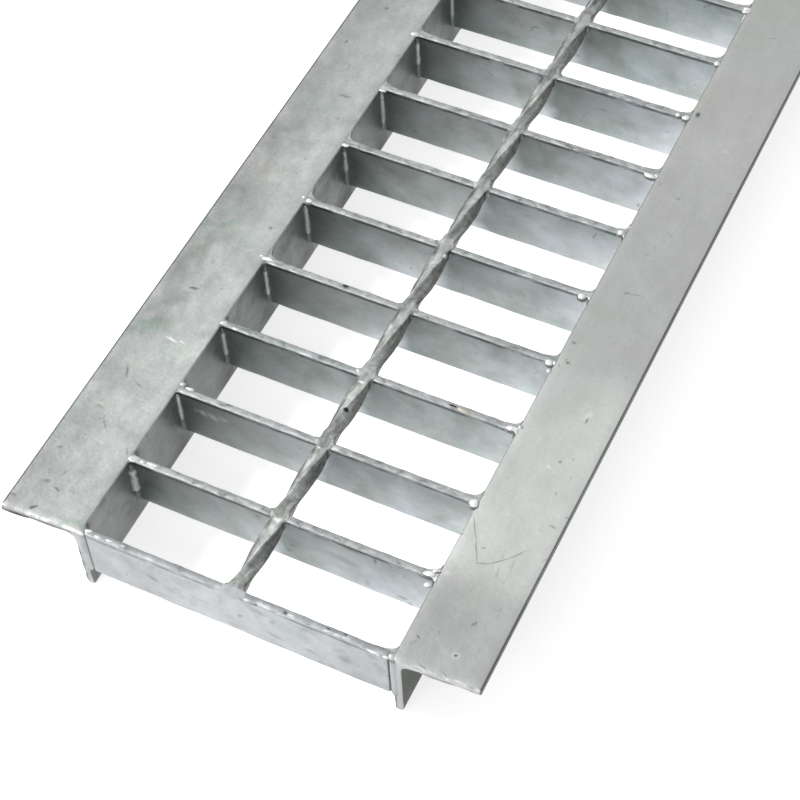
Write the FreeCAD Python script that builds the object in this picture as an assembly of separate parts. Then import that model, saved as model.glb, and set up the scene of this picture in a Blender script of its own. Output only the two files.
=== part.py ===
import FreeCAD, Part
import math
import os

from FreeCAD import Vector

# A drop-in drainage grating: two L-angles, upright flat bars between their legs and
# one twisted square rod pressed flush into the tops of the bars along the centre line.
# X runs across the grating, Y along it and Z up. The origin is at the middle of the
# length and width, on the plane of the legs' lower edges. Sizes are in millimetres
# and angles in degrees.

# Whole grating: the length at the legs, and the clear width between their inner faces
LENGTH = 995.0
CLEAR_WIDTH = 126.0

# Side angles: a flat flange as the rim, and a leg that stands down at its inner edge
FLANGE_WIDTH = 33.5
LEG_DEPTH = 35.7
ANGLE_THICKNESS = 3.2
HEEL_RADIUS = 0.5
ROOT_RADIUS = 3.5
TOE_RADIUS = 1.6
END_CUT_SKEW = 2.7

# Flat bars
BAR_COUNT = 29
BAR_DEPTH = 25.0
BAR_THICKNESS = 3.0
BAR_EDGE_BREAK = 0.4

# Twisted rod: each bay holds whole quarter turns, so its section is square to every bar
ROD_SIDE = 5.0
QUARTER_TURNS_PER_BAY = 1
SECTIONS_PER_QUARTER_TURN = 6
PRESSED_LENGTH = 2.6
FLARE_RADIUS = 2.4
FLARE_DEPTH = 3.6

# Welds between the bars and the legs: a bead down the corner in front of each bar, and
# a hollow fillet across the top of the corner behind it
BEAD_LEG = 2.8
BEAD_LENGTH = 17.0
BEAD_TOP_GAP = 1.0
BEAD_UPPER_TAPER = 1.5
BEAD_LOWER_TAPER = 4.0
FILLET_RADIUS = 4.0
FILLET_DEPTH = 8.0

# Places worked out from the sizes
PITCH = (LENGTH - BAR_THICKNESS) / (BAR_COUNT - 1)
LEG_FACE = CLEAR_WIDTH / 2
TOP = LEG_DEPTH
HALF_BAR = BAR_THICKNESS / 2
HALF_ROD = ROD_SIDE / 2
FRONT = 0
BACK = BAR_COUNT - 1


def bar_centre(index):
    """Y of the middle of a bar, counted from 0 at the front end."""
    return -LENGTH / 2 + HALF_BAR + index * PITCH


def box_between(low, high):
    """Box from its lowest corner to its highest corner."""
    size = [high[axis] - low[axis] for axis in range(3)]
    return Part.makeBox(size[0], size[1], size[2], Vector(*low))


def mirrored(shape):
    """The same shape on the other side of the centre line."""
    return shape.mirror(Vector(0, 0, 0), Vector(1, 0, 0))


def lengthwise_edge(shape, x, z):
    """The straight edge along Y that passes through (x, z)."""
    for edge in shape.Edges:
        ends = [vertex.Point for vertex in edge.Vertexes]
        if all(math.hypot(point.x - x, point.z - z) < 1e-6 for point in ends):
            return edge
    raise ValueError("no lengthwise edge at x %.3f z %.3f" % (x, z))


def right_angle_bar():
    """Rolled L-angle with its heel at the top inner corner, still longer than needed."""
    outer_face = LEG_FACE + ANGLE_THICKNESS
    rim = LEG_FACE + FLANGE_WIDTH
    under = TOP - ANGLE_THICKNESS
    reach = LENGTH / 2 + FLANGE_WIDTH
    leg = box_between((LEG_FACE, -reach, 0), (outer_face, reach, TOP))
    flange = box_between((LEG_FACE, -reach, under), (rim, reach, TOP))
    angle = leg.fuse(flange).removeSplitter()
    rounds = [
        (HEEL_RADIUS, LEG_FACE, TOP),
        (ROOT_RADIUS, outer_face, under),
        (TOE_RADIUS, outer_face, 0),
        (TOE_RADIUS, rim, under),
    ]
    for radius, x, z in rounds:
        angle = angle.makeFillet(radius, [lengthwise_edge(angle, x, z)])
    return angle


def end_cut_slab(side):
    """Plan of one angle between its two parallel saw cuts, a little off square."""
    slope = math.tan(math.radians(END_CUT_SKEW))
    reach = FLANGE_WIDTH * 2
    inner = side * (LEG_FACE - reach)
    outer = side * (LEG_FACE + reach)
    corners = []
    for x, end in ((inner, -1), (outer, -1), (outer, 1), (inner, 1)):
        y = end * LENGTH / 2 + slope * (x - side * LEG_FACE)
        corners.append(Vector(x, y, -TOP))
    outline = Part.makePolygon(corners + [corners[0]])
    return Part.Face(outline).extrude(Vector(0, 0, 3 * TOP))


def side_angle(side):
    """Left angle for side -1, right angle for side 1, cut to length."""
    angle = right_angle_bar()
    if side < 0:
        angle = mirrored(angle)
    return angle.common(end_cut_slab(side))


def flat_bar(index):
    """Upright flat bar from leg to leg, notched at the top for the rod."""
    middle = bar_centre(index)
    low = (-LEG_FACE, middle - HALF_BAR, TOP - BAR_DEPTH)
    high = (LEG_FACE, middle + HALF_BAR, TOP)
    bar = box_between(low, high)
    long_edges = [edge for edge in bar.Edges if abs(edge.Length - CLEAR_WIDTH) < 1e-6]
    bar = bar.makeChamfer(BAR_EDGE_BREAK, long_edges)
    notch_low = (-HALF_ROD, low[1] - HALF_BAR, TOP - ROD_SIDE)
    notch_high = (HALF_ROD, high[1] + HALF_BAR, TOP + ROD_SIDE)
    return bar.cut(box_between(notch_low, notch_high))


def hollow_fillet(x, y, x_side, y_side, radius, depth):
    """Metal in a square corner at (x, y), flush with the bars' tops and hollow outside."""
    corner = Vector(x, y, TOP)
    x_end = corner + Vector(x_side * radius, 0, 0)
    y_end = corner + Vector(0, y_side * radius, 0)
    centre = corner + Vector(x_side * radius, y_side * radius, 0)
    middle = centre + (corner - centre).normalize() * radius
    curve = Part.Arc(x_end, middle, y_end).toShape()
    sides = Part.makePolygon([y_end, corner, x_end])
    outline = Part.Wire([curve] + sides.Edges)
    return Part.Face(outline).extrude(Vector(0, 0, -depth))


def flares(face_y, direction):
    """Metal squeezed out on both sides of the rod against one face of a bar."""
    pair = []
    for side in (-1, 1):
        pair.append(hollow_fillet(side * HALF_ROD, face_y, side, direction, FLARE_RADIUS, FLARE_DEPTH))
    return pair


def pressed_crossing(index):
    """The rod where it is pressed flat into one bar, flared against the bar's faces."""
    middle = bar_centre(index)
    start = middle - HALF_BAR
    end = middle + HALF_BAR
    pieces = []
    if index != FRONT:
        pieces += flares(start, -1)
        start -= PRESSED_LENGTH
    if index != BACK:
        pieces += flares(end, 1)
        end += PRESSED_LENGTH
    block = box_between((-HALF_ROD, start, TOP - ROD_SIDE), (HALF_ROD, end, TOP))
    return block.multiFuse(pieces)


def rod_section(y, turn):
    """Square section of the rod at y, turned, with its highest point at the bars' tops."""
    angle = math.radians(turn)
    half_height = HALF_ROD * (abs(math.cos(angle)) + abs(math.sin(angle)))
    centre = Vector(0, y, TOP - half_height)
    corners = []
    for x, z in ((-1, -1), (1, -1), (1, 1), (-1, 1)):
        corners.append(centre + Vector(x * HALF_ROD, 0, z * HALF_ROD))
    outline = Part.makePolygon(corners + [corners[0]])
    outline.rotate(centre, Vector(0, 1, 0), turn)
    return outline


def twisted_bay(index):
    """The rod between a bar and the next one, with a right-hand twist."""
    start = bar_centre(index) + HALF_BAR + PRESSED_LENGTH
    end = bar_centre(index + 1) - HALF_BAR - PRESSED_LENGTH
    steps = QUARTER_TURNS_PER_BAY * SECTIONS_PER_QUARTER_TURN
    sections = []
    for step in range(steps + 1):
        share = step / steps
        turn = 90.0 * QUARTER_TURNS_PER_BAY * share
        sections.append(rod_section(start + share * (end - start), turn))
    return Part.makeLoft(sections, True, False)


def twisted_rod():
    """One rod from end to end, flush with the end bars' outer faces."""
    crossings = [pressed_crossing(index) for index in range(BAR_COUNT)]
    bays = [twisted_bay(index) for index in range(BAR_COUNT - 1)]
    return crossings[0].multiFuse(crossings[1:] + bays)


def corner_bead(side, bar_index):
    """Flat-faced bead down the corner in front of a bar, run out to a point at both ends."""
    x = side * LEG_FACE
    y = bar_centre(bar_index) - HALF_BAR
    upper = TOP - BEAD_TOP_GAP
    lower = upper - BEAD_LENGTH

    def section(z):
        corner = Vector(x, y, z)
        on_bar = corner - Vector(side * BEAD_LEG, 0, 0)
        on_leg = corner - Vector(0, BEAD_LEG, 0)
        return Part.makePolygon([corner, on_bar, on_leg, corner])

    stages = [
        Part.Vertex(x, y, lower),
        section(lower + BEAD_LOWER_TAPER),
        section(upper - BEAD_UPPER_TAPER),
        Part.Vertex(x, y, upper),
    ]
    return Part.makeLoft(stages, True, True)


def leg_welds(side):
    """The welds of all bars to one leg: none where an end bar has no leg beyond it."""
    welds = []
    for index in range(BAR_COUNT):
        if index != FRONT:
            welds.append(corner_bead(side, index))
        if index != BACK:
            back_face = bar_centre(index) + HALF_BAR
            fillet = hollow_fillet(side * LEG_FACE, back_face, -side, 1, FILLET_RADIUS, FILLET_DEPTH)
            welds.append(fillet)
    return Part.makeCompound(welds)


def bar_name(index):
    """Node name of a bar, numbered from the front end."""
    if index == FRONT:
        return "end_bar_front"
    if index == BACK:
        return "end_bar_back"
    return "bearing_bar_%02d" % (index + 1)


def grating():
    """Every piece by its node's name."""
    pieces = {
        "angle_left": side_angle(-1),
        "angle_right": side_angle(1),
        "twisted_rod": twisted_rod(),
        "welds_left": leg_welds(-1),
        "welds_right": leg_welds(1),
    }
    for index in range(BAR_COUNT):
        pieces[bar_name(index)] = flat_bar(index)
    return pieces


os.makedirs("parts", exist_ok=True)
for name, shape in grating().items():
    shape.exportStep("parts/%s.step" % name)
    print("%-16s %7.0f mm3 %s" % (name, shape.Volume, shape.isValid()))
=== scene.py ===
import bpy
import math
import random

from functools import partial
from mathutils import Matrix, Vector, noise


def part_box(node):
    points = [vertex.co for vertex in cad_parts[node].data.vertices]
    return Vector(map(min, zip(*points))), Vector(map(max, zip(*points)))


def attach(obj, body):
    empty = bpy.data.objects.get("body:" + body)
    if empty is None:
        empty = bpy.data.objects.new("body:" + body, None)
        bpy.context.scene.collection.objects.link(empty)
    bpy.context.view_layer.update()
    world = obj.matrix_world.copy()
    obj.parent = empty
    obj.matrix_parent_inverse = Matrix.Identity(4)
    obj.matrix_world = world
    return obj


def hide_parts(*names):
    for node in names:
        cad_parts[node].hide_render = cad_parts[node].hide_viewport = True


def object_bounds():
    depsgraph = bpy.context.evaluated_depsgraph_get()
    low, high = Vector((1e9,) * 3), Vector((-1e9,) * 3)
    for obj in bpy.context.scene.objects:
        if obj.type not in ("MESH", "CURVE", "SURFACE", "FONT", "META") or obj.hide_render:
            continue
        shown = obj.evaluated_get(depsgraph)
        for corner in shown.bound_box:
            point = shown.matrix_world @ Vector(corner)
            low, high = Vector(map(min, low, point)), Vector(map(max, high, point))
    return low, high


# A galvanised drop-in drainage grating: the plain steel solids of the frame get the soft
# edges, zinc fillets, weld beads, runs and marks of the real thing. X runs across the
# grating, Y along it and Z up, in metres.

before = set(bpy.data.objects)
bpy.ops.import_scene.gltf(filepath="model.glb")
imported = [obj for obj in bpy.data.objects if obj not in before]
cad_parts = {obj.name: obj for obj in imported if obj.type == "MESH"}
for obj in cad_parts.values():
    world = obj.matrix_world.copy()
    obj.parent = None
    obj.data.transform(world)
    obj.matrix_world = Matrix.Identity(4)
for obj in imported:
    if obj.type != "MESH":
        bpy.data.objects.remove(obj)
solid_low, solid_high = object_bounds()

MM = 0.001
ROOT_BODY = "root"

# Sizes read from the solids
FRONT_BAR_LOW, FRONT_BAR_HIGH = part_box("end_bar_front")
NEXT_BAR_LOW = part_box("bearing_bar_02")[0]
ANGLE_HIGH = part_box("angle_right")[1]
TOP = solid_high.z
LEG_FACE = FRONT_BAR_HIGH.x
RIM = ANGLE_HIGH.x
FRONT_END = FRONT_BAR_LOW.y
BACK_END = -FRONT_END
BAR_THICKNESS = FRONT_BAR_HIGH.y - FRONT_BAR_LOW.y
BAR_DEPTH = FRONT_BAR_HIGH.z - FRONT_BAR_LOW.z
PITCH = NEXT_BAR_LOW.y - FRONT_BAR_LOW.y
BAR_COUNT = round((BACK_END - FRONT_END - BAR_THICKNESS) / PITCH) + 1
END_SKEW = (ANGLE_HIGH.y - BACK_END) / (RIM - LEG_FACE)
LENGTH = BACK_END - FRONT_END

# Sizes of the sections that a node's box doesn't give
ANGLE_THICKNESS = 3.2 * MM
ROOT_RADIUS = 3.5 * MM
TOE_RADIUS = 1.6 * MM
ROD_SIDE = 5.0 * MM
PRESSED_LENGTH = 2.6 * MM

# Spacing of the skins' rings along the pieces, and of their points around the sections
ANGLE_STEP = 3.0 * MM
BAR_STEP = 1.1 * MM
BAR_LOOP_STEP = 1.6 * MM
END_BAR_STEP = 0.28 * MM
ROD_STEP = 0.8 * MM

# Ends of the angles: their softened corner, and how deep the saw cut's raggedness goes
END_EDGE = 0.35 * MM
RAGGED_DEPTH = 6 * MM
RAGGED_HEIGHT = 0.5 * MM

# Ends of the bars: how far they run into the legs, and on an end bar's open face the groove
# between the bar and the weld, placed from the leg's face inwards
BAR_OVERLAP = 0.3 * MM
END_BAR_OVERLAP = 1.2 * MM
GROOVE_PLACE = 1.5 * MM
GROOVE_DEPTH = 0.75 * MM
GROOVE_HALF_WIDTH = 0.6 * MM

# How far the runs of zinc along a bar's top edges stand out and up
RUN_HEIGHT = 0.34 * MM

# The twisted lengths of the rod look thicker than where it is pressed, and lie a little to the left
ROD_THICKER = 0.12
ROD_OFFSET = 0.35 * MM
ROD_EDGE_RADIUS = 0.55 * MM

# Rows of a weld bead's rings and points in each ring
BEAD_ROWS = 22
BEAD_AROUND = 12

# View of the photograph, as a camera looking at a point on the top plane
VIEW_TARGET = Vector((16.91 * MM, -395.5 * MM, TOP))
VIEW_DISTANCE = 781.24 * MM
VIEW_AZIMUTH = 28.788
VIEW_ELEVATION = 53.209
VIEW_ROLL = -3.667
VIEW_LENS = 92.92
SENSOR = 36.0
PHOTO_SIZE = 800

# Floor, lights and sky
FLOOR_COLOUR = (0.80, 0.80, 0.80)
FLOOR_LIFT = 0.68
FLOOR_HALF = 6.0
LAMP_DISTANCE = 4.0
LAMP_TARGET = (0, -0.1, 0)
KEY_DIRECTION = (-1.0, -0.22, 0.85)
KEY_SIZE = 1.3
KEY_POWER = 190
FILL_DIRECTION = (-0.2, -1.0, 0.6)
FILL_SIZE = 2.0
FILL_POWER = 20
SKY = 0.50


def bar_middle(index):
    """Y of the middle of a bar, counted from 0 at the front end."""
    return FRONT_END + BAR_THICKNESS / 2 + index * PITCH


def bar_node(index):
    """Name of a bar's node."""
    if index == 0:
        return "end_bar_front"
    if index == BAR_COUNT - 1:
        return "end_bar_back"
    return "bearing_bar_%02d" % (index + 1)


def clamped(value):
    """The value kept between 0 and 1."""
    return min(1.0, max(0.0, value))


def bell(distance, width):
    """1 at no distance, and falling off on both sides."""
    return math.exp(-(distance / width) ** 2)


# Camera

def view_axes():
    """Right, up and forward directions of the photograph's camera."""
    azimuth = math.radians(VIEW_AZIMUTH)
    elevation = math.radians(VIEW_ELEVATION)
    roll = math.radians(VIEW_ROLL)
    forward = Vector((
        -math.sin(azimuth) * math.cos(elevation),
        math.cos(azimuth) * math.cos(elevation),
        -math.sin(elevation),
    ))
    level = forward.cross(Vector((0, 0, 1))).normalized()
    above = level.cross(forward)
    right = level * math.cos(roll) + above * math.sin(roll)
    up = above * math.cos(roll) - level * math.sin(roll)
    return right, up, forward


def make_camera():
    """The scene's camera, at the photograph's place."""
    right, up, forward = view_axes()
    data = bpy.data.cameras.new("photo_camera")
    data.lens = VIEW_LENS
    data.sensor_width = SENSOR
    data.clip_start = 0.01
    data.clip_end = 20
    camera = bpy.data.objects.new("photo_camera", data)
    turn = Matrix((right, up, -forward)).transposed().to_4x4()
    camera.matrix_world = Matrix.Translation(VIEW_TARGET - forward * VIEW_DISTANCE) @ turn
    bpy.context.scene.collection.objects.link(camera)
    bpy.context.scene.camera = camera


def seen_point(column, row, axis=2, level=TOP):
    """The point that the photograph shows at a pixel on a plane, by default the top plane."""
    right, up, forward = view_axes()
    reach = VIEW_LENS / SENSOR * PHOTO_SIZE
    half = PHOTO_SIZE / 2
    ray = forward + right * ((column - half) / reach) - up * ((row - half) / reach)
    start = VIEW_TARGET - forward * VIEW_DISTANCE
    return start + ray * ((level - start[axis]) / ray[axis])


# Mesh helpers

def rounded_loop(corners, spacing, arc_steps=4):
    """Closed outline through corners (a, b, radius) with arcs, split about every spacing."""
    points = []
    last = None
    for index, (a, b, radius) in enumerate(corners):
        here = Vector((a, b))
        to_before = (Vector(corners[index - 1][:2]) - here).normalized()
        to_after = (Vector(corners[(index + 1) % len(corners)][:2]) - here).normalized()
        start = here + to_before * radius
        centre = start + to_after * radius
        if points:
            fill_between(points, last, start, spacing)
        for step in range(arc_steps + 1):
            angle = math.pi / 2 * step / arc_steps
            points.append(centre - to_after * radius * math.cos(angle) - to_before * radius * math.sin(angle))
        last = here + to_after * radius
    fill_between(points, last, points[0], spacing)
    return points


def fill_between(points, start, target, spacing):
    """Adds the points between a start and a target, both left out."""
    pieces = max(1, round((target - start).length / spacing))
    for step in range(1, pieces):
        points.append(start.lerp(target, step / pieces))


def inset(loop, distance):
    """The loop moved towards its inside, for a loop that runs anticlockwise."""
    moved = []
    for index, point in enumerate(loop):
        along = (loop[(index + 1) % len(loop)] - loop[index - 1]).normalized()
        moved.append(point + Vector((-along.y, along.x)) * distance)
    return moved


def anticlockwise(loop):
    """The loop in anticlockwise order."""
    area = sum(a.x * b.y - b.x * a.y for a, b in zip(loop, loop[1:] + loop[:1]))
    return loop if area > 0 else loop[::-1]


def add_rings(mesh_data, rings):
    """Adds a closed skin over rings of equally many points, with a cap at both ends."""
    vertices, faces = mesh_data
    base = len(vertices)
    size = len(rings[0])
    for ring in rings:
        vertices.extend(ring)
    for row in range(len(rings) - 1):
        low = base + row * size
        high = low + size
        for column in range(size):
            following = (column + 1) % size
            faces.append((low + column, low + following, high + following, high + column))
    faces.append(tuple(reversed(range(base, base + size))))
    last = base + (len(rings) - 1) * size
    faces.append(tuple(range(last, last + size)))


def make_piece(name, mesh_data, material, nodes, sharp=50):
    """One piece of the visual model, which stands for the named nodes."""
    vertices, faces = mesh_data
    mesh = bpy.data.meshes.new(name)
    mesh.from_pydata([tuple(vertex) for vertex in vertices], [], faces)
    mesh.validate()
    piece = bpy.data.objects.new(name, mesh)
    bpy.context.scene.collection.objects.link(piece)
    mesh.materials.append(material)
    bpy.context.view_layer.objects.active = piece
    piece.select_set(True)
    bpy.ops.object.mode_set(mode="EDIT")
    bpy.ops.mesh.select_all(action="SELECT")
    bpy.ops.mesh.normals_make_consistent(inside=False)
    bpy.ops.object.mode_set(mode="OBJECT")
    piece.select_set(False)
    mesh.shade_smooth()
    mesh.set_sharp_from_angle(angle=math.radians(sharp))
    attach(piece, ROOT_BODY)
    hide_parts(*nodes)
    return piece


def keep_values(piece, name, values):
    """Keeps one number for each point of the mesh, for its paint."""
    piece.data.attributes.new(name, "FLOAT", "POINT").data.foreach_set("value", values)


def ripple(point, size, height, seed=0.0):
    """Smooth noise at a point: size is its wavelength and height its greatest depth."""
    place = Vector((point[0] / size + seed, point[1] / size - seed, point[2] / size + 2 * seed))
    return noise.noise(place) * height


def corner_fill(distance, radius):
    """How far a hollow fillet of that radius stands out at a distance from the wall."""
    if distance >= radius:
        return 0.0
    return radius - math.sqrt(radius * radius - (radius - distance) ** 2)


# Materials

class Nodes:
    """A node tree, with a short call for each kind of node."""

    def __init__(self, tree):
        self.tree = tree

    def link(self, output, socket):
        """Links an output to a socket."""
        self.tree.links.new(output, socket)

    def node(self, kind, inputs=None, output=0, **settings):
        """An output of a new node with these settings and with these inputs linked or set."""
        node = self.tree.nodes.new(kind)
        for name, value in settings.items():
            setattr(node, name, value)
        for name, value in (inputs or {}).items():
            socket = node.inputs[name]
            if isinstance(value, bpy.types.NodeSocket):
                self.link(value, socket)
            elif socket.type == "RGBA":
                socket.default_value = (*value, 1)
            else:
                socket.default_value = value
        return node.outputs[output]

    def noise(self, coordinates, scale, detail=3.0, roughness=0.55, distortion=0.0, output="Fac"):
        """Noise over the given coordinates."""
        inputs = {
            "Vector": coordinates, "Scale": scale, "Detail": detail,
            "Roughness": roughness, "Distortion": distortion,
        }
        return self.node("ShaderNodeTexNoise", inputs, output)

    def ramp(self, factor, stops, smooth=False):
        """Colour ramp with (position, colour or grey) stops."""
        node = self.tree.nodes.new("ShaderNodeValToRGB")
        node.color_ramp.interpolation = "EASE" if smooth else "LINEAR"
        elements = node.color_ramp.elements
        while len(elements) < len(stops):
            elements.new(0.5)
        for element, (position, colour) in zip(elements, stops):
            element.position = position
            element.color = (*colour, 1) if isinstance(colour, tuple) else (colour, colour, colour, 1)
        self.link(factor, node.inputs["Fac"])
        return node.outputs["Color"]

    def mixed(self, factor, first, second, blend="MIX"):
        """Two colours mixed by a factor."""
        inputs = {"Factor": factor, 6: first, 7: second}
        return self.node("ShaderNodeMix", inputs, 2, data_type="RGBA", blend_type=blend)

    def maths(self, operation, first, second=0.0):
        """One sum on numbers."""
        return self.node("ShaderNodeMath", {0: first, 1: second}, operation=operation)

    def both(self, first, *others):
        """Product of masks: 1 where all of them are 1."""
        for other in others:
            first = self.maths("MULTIPLY", first, other)
        return first

    def share(self, value, start, length):
        """The share of a length that lies between a start and the value."""
        return self.maths("DIVIDE", self.maths("SUBTRACT", value, start), length)

    def rise(self, value, none, full):
        """Mask: 0 at one value and 1 at another, the higher or the lower of the two."""
        (low, at_low), (high, at_high) = sorted([(none, 0.0), (full, 1.0)])
        inputs = {"Value": value, "From Min": low, "From Max": high, "To Min": at_low, "To Max": at_high}
        return self.node("ShaderNodeMapRange", inputs, "Result", interpolation_type="SMOOTHSTEP")

    def scaled(self, coordinates, scale):
        """The coordinates times a factor for each axis."""
        return self.node("ShaderNodeMapping", {"Vector": coordinates, "Scale": scale})

    def shifted(self, coordinates, scale, distance):
        """The coordinates pushed about by noise, for uneven outlines."""
        drift = self.noise(coordinates, scale, 2.0, output="Color")
        drift = self.node("ShaderNodeVectorMath", {0: drift, 1: (0.5, 0.5, 0.5)}, operation="SUBTRACT")
        drift = self.node("ShaderNodeVectorMath", {0: drift, "Scale": distance}, operation="SCALE")
        return self.node("ShaderNodeVectorMath", {0: coordinates, 1: drift}, operation="ADD")

    def marks(self, coordinates, spots, inner=0.7, outer=1.3):
        """Mask of irregular ovals: (centre, sizes in mm, turns in degrees, strength)."""
        total = 0.0
        for centre, size, turns, strength in spots:
            inputs = {
                "Vector": coordinates, "Location": centre,
                "Rotation": [math.radians(turn) for turn in turns],
                "Scale": [extent * MM / 2 for extent in size],
            }
            local = self.node("ShaderNodeMapping", inputs, vector_type="TEXTURE")
            reach = self.node("ShaderNodeVectorMath", {0: local}, "Value", operation="LENGTH")
            spot = self.both(self.rise(reach, outer, inner), strength)
            total = spot if total == 0.0 else self.maths("MAXIMUM", total, spot)
        return total

    def attribute(self, name, output="Fac"):
        """A value kept at the mesh's points."""
        return self.node("ShaderNodeAttribute", output=output, attribute_name=name)

    def wrinkled(self, height, strength, distance, over=None):
        """Normals bent by a height, over other bent normals if there are any."""
        inputs = {"Height": height, "Strength": strength, "Distance": distance}
        if over is not None:
            inputs["Normal"] = over
        return self.node("ShaderNodeBump", inputs)


class Paint(Nodes):
    """The colour of a piece, laid on in steps over its place in the object."""

    def __init__(self, tree):
        super().__init__(tree)
        self.place = self.node("ShaderNodeTexCoord", output="Object")
        self.x, self.y, self.z = (
            self.node("ShaderNodeSeparateXYZ", {0: self.place}, axis) for axis in "XYZ")
        self.colour = None

    def lay(self, mask, colour):
        """Covers the colour so far where the mask is 1."""
        self.colour = self.mixed(mask, self.colour, colour)

    def shade(self, mask, factor):
        """Multiplies the colour so far where the mask is 1."""
        if isinstance(factor, float):
            factor = (factor, factor, factor)
        self.colour = self.mixed(mask, self.colour, factor, "MULTIPLY")

    def at_depth(self, none, full):
        """Mask: 0 at one depth under the top plane and 1 at another, in mm."""
        return self.rise(self.z, TOP - none * MM, TOP - full * MM)


def node_tree(name):
    """A new material with its principled shader."""
    material = bpy.data.materials.new(name)
    material.use_nodes = True
    tree = material.node_tree
    return material, tree, tree.nodes["Principled BSDF"]


def galvanised(name, dull, bright, tint, stretch, cloud, metallic, finish,
               texture=(0.8, 0.7), rough=(0.38, 0.55)):
    """Dull hot-dip zinc: clouds of two greys, a faint tint, fine grain, dark specks and ripples."""
    material, tree, shader = node_tree(name)
    paint = Paint(tree)
    place = paint.place
    along = paint.scaled(place, stretch)

    clouds = paint.noise(along, cloud, 5.0, 0.62, 0.7)
    paint.colour = paint.ramp(clouds, [(0.32, dull), (0.68, bright)])
    patches = paint.noise(place, cloud * 0.55, 3.0, 0.5, 1.2)
    paint.shade(paint.both(paint.rise(patches, 0.50, 0.66), 0.8), tint)
    mottle = paint.noise(along, 190.0, 4.0, 0.62, 0.4)
    paint.shade(texture[0], paint.ramp(mottle, [(0.30, 0.86), (0.70, 1.10)]))
    grain = paint.noise(place, 750.0, 3.0, 0.7)
    paint.shade(texture[1], paint.ramp(grain, [(0.28, 0.80), (0.72, 1.14)]))
    specks = paint.noise(place, 230.0, 2.0, 0.5, 0.9)
    paint.shade(paint.rise(specks, 0.70, 0.76), (0.62, 0.66, 0.63))
    nicks = paint.noise(paint.shifted(along, 90.0, 0.01), 120.0, 1.0, 0.5, 2.0)
    paint.shade(paint.rise(nicks, 0.74, 0.83), (0.74, 0.78, 0.75))
    finish(paint)
    paint.link(paint.colour, shader.inputs["Base Color"])

    gloss = paint.noise(place, cloud * 2.2, 3.0)
    paint.link(paint.ramp(gloss, [(0.3, rough[0]), (0.7, rough[1])]), shader.inputs["Roughness"])
    shader.inputs["Metallic"].default_value = metallic
    wrinkles = paint.wrinkled(paint.noise(place, 110.0, 3.0, 0.5), 0.45, 0.6 * MM)
    paint.link(paint.wrinkled(grain, 0.40, 0.15 * MM, wrinkles), shader.inputs["Normal"])
    return material


# Tables of marks from the photograph. A row on the top plane has the column and row of its
# middle in pixels and its length and width in mm, and then, where it isn't plain, its turn in
# degrees and its strength.

# Large soft tones of the flanges' tops
DARK_PATCHES = [
    (269, 135, 34, 13, 55, 0.7), (238, 189, 30, 12, 60, 0.7), (214, 222, 26, 10, 50, 0.6),
    (196, 256, 30, 9, 70, 0.8), (172, 299, 26, 11, 60, 0.7), (146, 324, 22, 12, 40, 0.7),
    (88, 434, 26, 18, 50, 0.4), (118, 426, 16, 10, 20, 0.5), (316, 96, 24, 8, 20, 0.6),
    (70, 522, 18, 6, -20, 0.4), (440, 632, 44, 24, 60, 0.2), (455, 595, 20, 9, 0, 0.3),
]
LIGHT_PATCHES = [
    (118, 372, 34, 20, 60, 0.4), (292, 176, 34, 14, 60, 0.5), (331, 138, 34, 14, 60, 0.6),
    (225, 290, 40, 12, 60, 0.5), (190, 345, 34, 14, 60, 0.5),
]
BROWN_PATCHES = [
    (266, 170, 16, 10, 40, 0.7), (198, 252, 16, 6, 60, 0.5), (98, 400, 14, 8, 0, 0.5),
    (700, 105, 20, 5, 70, 0.6), (134, 460, 7, 5, 20, 1.0), (395, 655, 8, 4, 0, 0.6),
    (640, 205, 9, 5, 50, 0.5), (447, 573, 6, 3.6, 0, 1.0),
]
GREEN_PATCHES = [
    (60, 512, 34, 5, -22, 0.9), (88, 518, 10, 8, -20, 0.8), (20, 497, 10, 7, 0, 0.7),
    (150, 326, 18, 10, 40, 0.8), (225, 220, 24, 10, 60, 0.7), (405, 655, 16, 8, -10, 0.3),
]

# Small marks on the flanges' tops: nicks, pits, scratches and the light halos round them, painted glints
# along the right flange's front edge, and painted shade in the corners behind the first bars at the left leg
DARK_MARKS_AND_SHADE = [
    (33, 507, 3.4, 1.3, 40, 0.9), (14, 494, 2.4, 1.4, 10, 0.5), (47, 481, 3.0, 1.9, 10, 0.55),
    (57, 489, 3.0, 1.0, -20, 0.7), (65, 473, 3.6, 0.8, 75, 0.4), (100, 406, 3.2, 1.1, 0, 0.4),
    (105, 424, 5.0, 0.8, -50, 0.45), (127, 451, 3.4, 0.7, -60, 0.4), (194, 288, 4.6, 1.3, 8, 0.8),
    (127, 371, 6.0, 0.9, -65, 0.6), (139, 385, 2.8, 1.0, -20, 0.5), (271, 228, 1.8, 1.6, 0, 0.6),
    (345, 96, 6.0, 1.2, 0, 0.5), (93, 519, 1.6, 2.2, 0, 1.0), (141, 450, 1.6, 2.4, 0, 0.8),
    (232, 322, 1.6, 2.2, 0, 0.8), (188, 383, 1.4, 2.0, 0, 0.6), (456, 656, 1.1, 1.0, 0, 1.0),
    (574, 343, 1.8, 1.3, 0, 0.6), (568, 363, 1.6, 1.3, 0, 0.8), (587, 421, 2.8, 0.8, 85, 0.8),
    (560, 462, 1.4, 1.3, 0, 0.6), (553, 527, 2.8, 1.1, -10, 0.5), (567, 518, 1.6, 0.9, 0, 0.4),
    (470, 688, 3.2, 1.1, -20, 0.8), (698, 115, 1.7, 3.0, 0, 1.0), (545, 560, 2.4, 1.0, 30, 0.25),
    (500, 610, 2.4, 0.9, 60, 0.25), (484, 692, 2.4, 1.3, -20, 0.8), (424, 668, 6.0, 0.6, -24, 0.5),
    (446, 676, 5.0, 0.6, -24, 0.4),
]
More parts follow.
